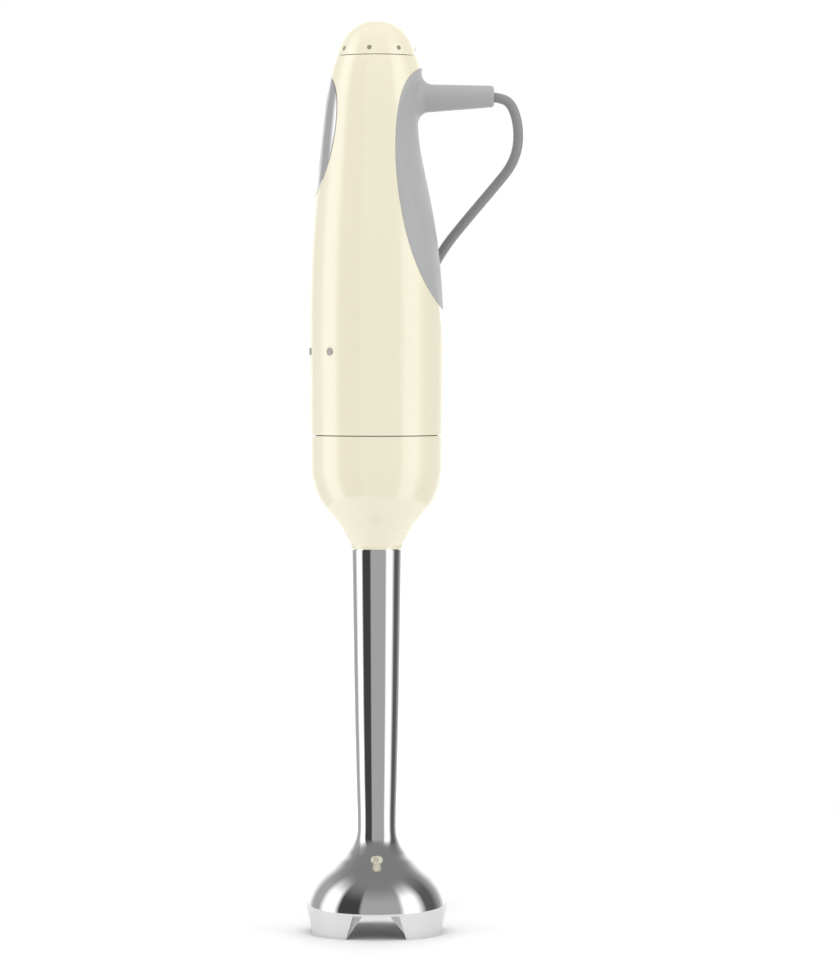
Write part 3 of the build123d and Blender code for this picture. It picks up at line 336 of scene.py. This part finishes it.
plug_rubber = finish_of("plug_rubber", srgb(128, 128, 129), srgb(116, 116, 118), 0.42, 0.12, 0.5 * mm, bump=0.03 * mm)
blade_brass = finish_of(
    "blade_brass", (0.80, 0.68, 0.42, 1), (0.72, 0.58, 0.33, 1), 0.24, 0.12, 0.3 * mm,
    metallic=1.0, stretch=(1, 0.06, 1)
)
tie_tape = finish_of("tie_tape", srgb(40, 40, 41), srgb(26, 26, 27), 0.85, 0.15, 0.25 * mm, bump=0.12 * mm)
dress(plug_rubber, "plug_body")
dress(blade_brass, "plug_prongs")
dress(tie_tape, "cord_tie")

# ------------------------------------------------------------------ body shell
# The hand-held body is injection moulded in gloss cream and polished, with a clear hard skin.
# Its colour drifts a little with the flow of the plastic.
cream_gloss = finish_of("cream_gloss", srgb(242, 236, 211), srgb(240, 234, 209), 0.12, 0.03, 3 * mm, coat=0.7)
dress(cream_gloss, "main_housing", "foot_collar", "speed_dial")

# ------------------------------------------------------------------ rear cover
# The soft grey half of the grip and the spout for the cord are one over-moulding in a rubbery
# plastic with a fine spark-eroded grain.
grip_grey = finish_of("grip_grey", srgb(178, 178, 178), srgb(172, 172, 173), 0.50, 0.12, 0.25 * mm, bump=0.015 * mm)
dress(grip_grey, "rear_cover")

# ------------------------------------------------------------------ bezel, buttons, badge and marks
# The oval frame round the keys and the badge's round pips are chromed. The keys are moulded in
# silver, and the dial's marks are pad printed in warm grey.
chrome_trim = finish_of("chrome_trim", (0.78, 0.78, 0.79, 1), (0.76, 0.76, 0.77, 1), 0.06, 0.03, 1 * mm, metallic=1.0)
pip_silver = finish_of("pip_silver", srgb(164, 163, 160), srgb(150, 149, 147), 0.35, 0.08, 0.4 * mm, metallic=0.4)
button_silver = finish_of(
    "button_silver", (0.62, 0.62, 0.64, 1), (0.58, 0.58, 0.60, 1), 0.22, 0.06, 0.4 * mm, metallic=1.0
)
mark_grey = finish_of("mark_grey", srgb(150, 146, 132), srgb(138, 134, 120), 0.5, 0.1, 0.2 * mm)
dress(chrome_trim, "button_bezel")
dress(pip_silver, "badge_pips")
dress(button_silver, "start_button", "turbo_button")
dress(mark_grey, "dial_marks")

# ------------------------------------------------------------------ steel foot
# The tube and bell are spun and drawn from stainless sheet, then buffed to a mirror on a wheel,
# which leaves the faintest rings round the axis. Four notches are pressed out of the bell's rim.
stainless = finish_of(
    "stainless", (0.72, 0.72, 0.73, 1), (0.70, 0.70, 0.71, 1), 0.045, 0.03, 0.5 * mm,
    metallic=1.0, stretch=(0.1, 0.1, 1)
)
sheet_steel = 0.9
rim_height = 11.04
bell_line = [(31.3, rim_height), (29.5, 18.4), (25.2, 25.3), (17.9, 32.4), (13.8, 36.1), (9.8, 41.4), (8.9, 47.0)]
tube_line = [(8.9, 47.0), (9.45, 68.4), (10.3, 103.4), (11.4, 170.4)]
neck_line = [(10.4, 170.4), (10.4, 190.6)]
spin_steps = 128


def smooth_line(points, steps, start=None, end=None):
    """Points along a smooth line through the given ones, with its end directions if they matter."""
    first = start or tuple(b - a for a, b in zip(points[0], points[1]))
    last = end or tuple(b - a for a, b in zip(points[-2], points[-1]))
    before = tuple(a - b for a, b in zip(points[1], first)) if start is None else None
    slopes = []
    for number, point in enumerate(points):
        if number == 0:
            slopes.append(first)
        elif number == len(points) - 1:
            slopes.append(last)
        else:
            slopes.append(tuple((c - a) / 2 for a, c in zip(points[number - 1], points[number + 1])))
    line = []
    for number in range(len(points) - 1):
        (a, b), (go, come) = points[number:number + 2], slopes[number:number + 2]
        run = sqrt((b[0] - a[0]) ** 2 + (b[1] - a[1]) ** 2)
        for step in range(steps):
            t = step / steps
            h = (2 * t**3 - 3 * t**2 + 1, t**3 - 2 * t**2 + t, 3 * t**2 - 2 * t**3, t**3 - t**2)
            line.append(tuple(h[0] * a[k] + h[1] * go[k] * run_share(go, run) + h[2] * b[k]
                              + h[3] * come[k] * run_share(come, run) for k in (0, 1)))
    line.append(points[-1])
    return line


def run_share(slope, run):
    """How far a slope is drawn out so that it is as long as its run."""
    return run / max(1e-6, sqrt(slope[0] ** 2 + slope[1] ** 2))


def spun(name, line, material, body, slot, *replaced, steps=spin_steps):
    """A wall spun round the drive axis from a line of (radius, height) in mm, its normals outward."""
    mesh = bpy.data.meshes.new(name)
    form = bmesh.new()
    row = [form.verts.new((radius * mm, 0, height * mm)) for radius, height in line]
    edges = [form.edges.new(pair) for pair in zip(row, row[1:])]
    bmesh.ops.spin(form, geom=row + edges, cent=(0, 0, 0), axis=(0, 0, 1), angle=2 * pi,
                   steps=steps, use_merge=True)
    bmesh.ops.remove_doubles(form, verts=form.verts, dist=1e-6)
    bmesh.ops.recalc_face_normals(form, faces=form.faces)
    return mesh, form


def finish_piece(name, mesh, form, material, body, slot, *replaced, crease=35):
    """Writes a form to its object, smooth but for its creases, and gives it its body; slot is not used."""
    for face in form.faces:
        face.smooth = True
    for edge in form.edges:
        if len(edge.link_faces) == 2 and edge.calc_face_angle() > radians(crease):
            edge.smooth = False
    form.to_mesh(mesh)
    form.free()
    piece = bpy.data.objects.new(name, mesh)
    bpy.context.scene.collection.objects.link(piece)
    mesh.materials.append(material)
    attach(piece, body)
    if replaced:
        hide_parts(*replaced)
    return piece


outside = [(31.3, 0.0), (31.3, 2.6), (31.3, 5.3), (31.3, 8.0)]
outside += smooth_line(bell_line, 8, start=(0, 1), end=(0, 1))
outside += smooth_line(tube_line, 8, start=(0, 1))[1:] + neck_line
inside = [(max(radius - sheet_steel, 0), height) for radius, height in reversed(outside)]
bell_inside = []
for (radius, height), before, after in zip(outside, outside[:1] + outside[:-1], outside[1:] + outside[-1:]):
    along = Vector((after[0] - before[0], after[1] - before[1])).normalized()
    bell_inside.append((radius - sheet_steel * along.y, height + sheet_steel * along.x))
bell_inside = [(radius, max(0.0, min(height, 190.6))) for radius, height in reversed(bell_inside)]
bell_inside[-1] = (31.3 - sheet_steel, 0.0)
wall_line = outside + bell_inside + [outside[0]]
foot_mesh, foot_form = spun("polished_foot", wall_line, stainless, "blending_foot", "stainless", "steel_foot")
notch_top, notch_half_top, notch_half_low = 10.5, 10.25, 13.25
for turn in range(4):
    facing = Matrix.Rotation(turn * pi / 2, 3, "Z")
    slope = atan2(notch_half_low - notch_half_top, notch_top)
    cuts = [(Vector((0, 0, notch_top * mm)), Vector((0, 0, 1)))]
    for side in (1, -1):
        cuts.append((Vector((0, side * notch_half_low * mm, 0)), Vector((0, side * cos(slope), sin(slope)))))
    near = [f for f in foot_form.faces if (facing.inverted() @ f.calc_center_median()).x > 15 * mm
            and f.calc_center_median().z < 16 * mm]
    for place, normal in cuts:
        geom = set(near) | {e for f in near for e in f.edges} | {v for f in near for v in f.verts}
        bmesh.ops.bisect_plane(foot_form, geom=list(geom), dist=1e-7, plane_co=facing @ place, plane_no=facing @ normal)
        near = [f for f in foot_form.faces if (facing.inverted() @ f.calc_center_median()).x > 15 * mm
                and f.calc_center_median().z < 16 * mm]
    gone = [f for f in near
            if all((facing.inverted() @ f.calc_center_median() - place).dot(normal) < 0 for place, normal in cuts)]
    bmesh.ops.delete(foot_form, geom=gone, context="FACES")
open_edges = [edge for edge in foot_form.edges if edge.is_boundary]
bmesh.ops.holes_fill(foot_form, edges=open_edges, sides=0)
bmesh.ops.recalc_face_normals(foot_form, faces=foot_form.faces)
polished_foot = finish_piece("polished_foot", foot_mesh, foot_form, stainless, "blending_foot", "stainless",
                             "steel_foot")

# ------------------------------------------------------------------ blade and its shaft
# The two-armed blade is stamped from hard stainless and ground bright on its edges. It is held by a
# nut on a ground shaft that turns in a sintered bronze bush and a ball bearing.
blade_steel = finish_of(
    "blade_steel", (0.74, 0.74, 0.75, 1), (0.66, 0.66, 0.68, 1), 0.24, 0.14, 0.2 * mm,
    bump=0.004 * mm, metallic=1.0, stretch=(1, 0.05, 1)
)
shaft_steel = finish_of(
    "shaft_steel", (0.70, 0.70, 0.71, 1), (0.64, 0.64, 0.66, 1), 0.20, 0.10, 0.2 * mm,
    bump=0.002 * mm, metallic=1.0, stretch=(0.06, 0.06, 1)
)
bronze = finish_of("bronze", (0.62, 0.43, 0.22, 1), (0.52, 0.34, 0.17, 1), 0.42, 0.16, 0.15 * mm,
                   bump=0.01 * mm, metallic=1.0)
dress(blade_steel, "blade", "blade_nut")
dress(shaft_steel, "drive_shaft", "motor_shaft", "dial_shaft", "upper_bearing", "lower_motor_bearing",
      "upper_motor_bearing")
dress(bronze, "lower_bush")

# ------------------------------------------------------------------ moulded frames and couplings
# Black glass-filled nylon carries the motor, the bayonet and the switches. The couplings and the
# fan are plain acetal, ivory white and slightly waxy.
black_plastic = finish_of("black_plastic", srgb(44, 44, 46), srgb(34, 34, 36), 0.46, 0.14, 0.4 * mm, bump=0.02 * mm)
coupling_plastic = finish_of(
    "coupling_plastic", srgb(224, 221, 210), srgb(214, 210, 196), 0.36, 0.12, 0.6 * mm, bump=0.01 * mm
)
component_black = finish_of("component_black", srgb(36, 36, 38), srgb(28, 28, 30), 0.55, 0.10, 0.3 * mm)
seal_rubber = finish_of("seal_rubber", srgb(38, 38, 38), srgb(28, 28, 28), 0.62, 0.14, 0.3 * mm, bump=0.02 * mm)
seal_silicone = finish_of("seal_silicone", srgb(196, 190, 172), srgb(186, 180, 162), 0.6, 0.1, 0.3 * mm)
dress(black_plastic, "bayonet_socket", "bayonet_spigot", "motor_frame", "upper_frame", "cord_clamp",
      "motor_end_cap", "bearing_housing", "start_switch", "turbo_switch")
dress(coupling_plastic, "drive_coupling", "driven_coupling", "cooling_fan")
dress(component_black, "triac")
dress(seal_rubber, "lip_seal", "motor_dampers")
dress(seal_silicone, "foot_seal")

# ------------------------------------------------------------------ motor
# A small brushed motor: a zinc-plated drawn can, sintered ferrite magnets, a core of stacked
# laminations wound with enamelled copper, and graphite brushes.
motor_steel = finish_of(
    "motor_steel", (0.62, 0.62, 0.62, 1), (0.54, 0.55, 0.56, 1), 0.34, 0.16, 0.6 * mm, metallic=1.0
)
core_steel = finish_of(
    "core_steel", (0.42, 0.42, 0.43, 1), (0.30, 0.30, 0.32, 1), 0.40, 0.16, 0.12 * mm,
    bump=0.03 * mm, metallic=1.0, stretch=(0.04, 0.04, 1)
)
magnet_black = finish_of("magnet_black", srgb(56, 56, 58), srgb(44, 44, 46), 0.66, 0.12, 0.3 * mm, bump=0.02 * mm)
copper_wire = finish_of(
    "copper_wire", (0.72, 0.33, 0.16, 1), (0.58, 0.24, 0.10, 1), 0.28, 0.12, 0.2 * mm,
    bump=0.06 * mm, metallic=1.0, coat=0.5
)
graphite = finish_of("graphite", srgb(50, 50, 52), srgb(38, 38, 40), 0.50, 0.10, 0.2 * mm)
dress(motor_steel, "motor_can")
dress(core_steel, "armature_core")
dress(magnet_black, "magnets")
dress(copper_wire, "armature_windings", "commutator")
dress(graphite, "carbon_brushes")

# ------------------------------------------------------------------ springs and screws
# Springs are wound from drawn wire, and the screws are zinc plated.
spring_steel = finish_of(
    "spring_steel", (0.66, 0.66, 0.67, 1), (0.58, 0.58, 0.60, 1), 0.25, 0.10, 0.2 * mm, metallic=1.0
)
screw_steel = finish_of(
    "screw_steel", (0.64, 0.64, 0.61, 1), (0.54, 0.54, 0.50, 1), 0.32, 0.14, 0.2 * mm, metallic=1.0
)
dress(spring_steel, "start_spring", "turbo_spring", "brush_springs")
dress(screw_steel, "socket_screws", "frame_screws", "board_screws", "clamp_screws")

# ------------------------------------------------------------------ control board
# A small fibreglass board carries the speed control's parts, with an extruded heat sink.
board_green = finish_of("board_green", srgb(24, 96, 58), srgb(18, 78, 46), 0.28, 0.10, 0.4 * mm, coat=0.3)
capacitor_yellow = finish_of("capacitor_yellow", srgb(214, 178, 66), srgb(200, 162, 52), 0.40, 0.10, 0.5 * mm)
sink_aluminium = finish_of(
    "sink_aluminium", (0.74, 0.74, 0.75, 1), (0.66, 0.66, 0.68, 1), 0.30, 0.12, 0.2 * mm,
    metallic=1.0, stretch=(1, 1, 0.05)
)
dress(board_green, "control_board")
dress(capacitor_yellow, "suppression_capacitor")
dress(sink_aluminium, "heat_sink", "speed_potentiometer")
dress(cord_rubber, "cord_lead")
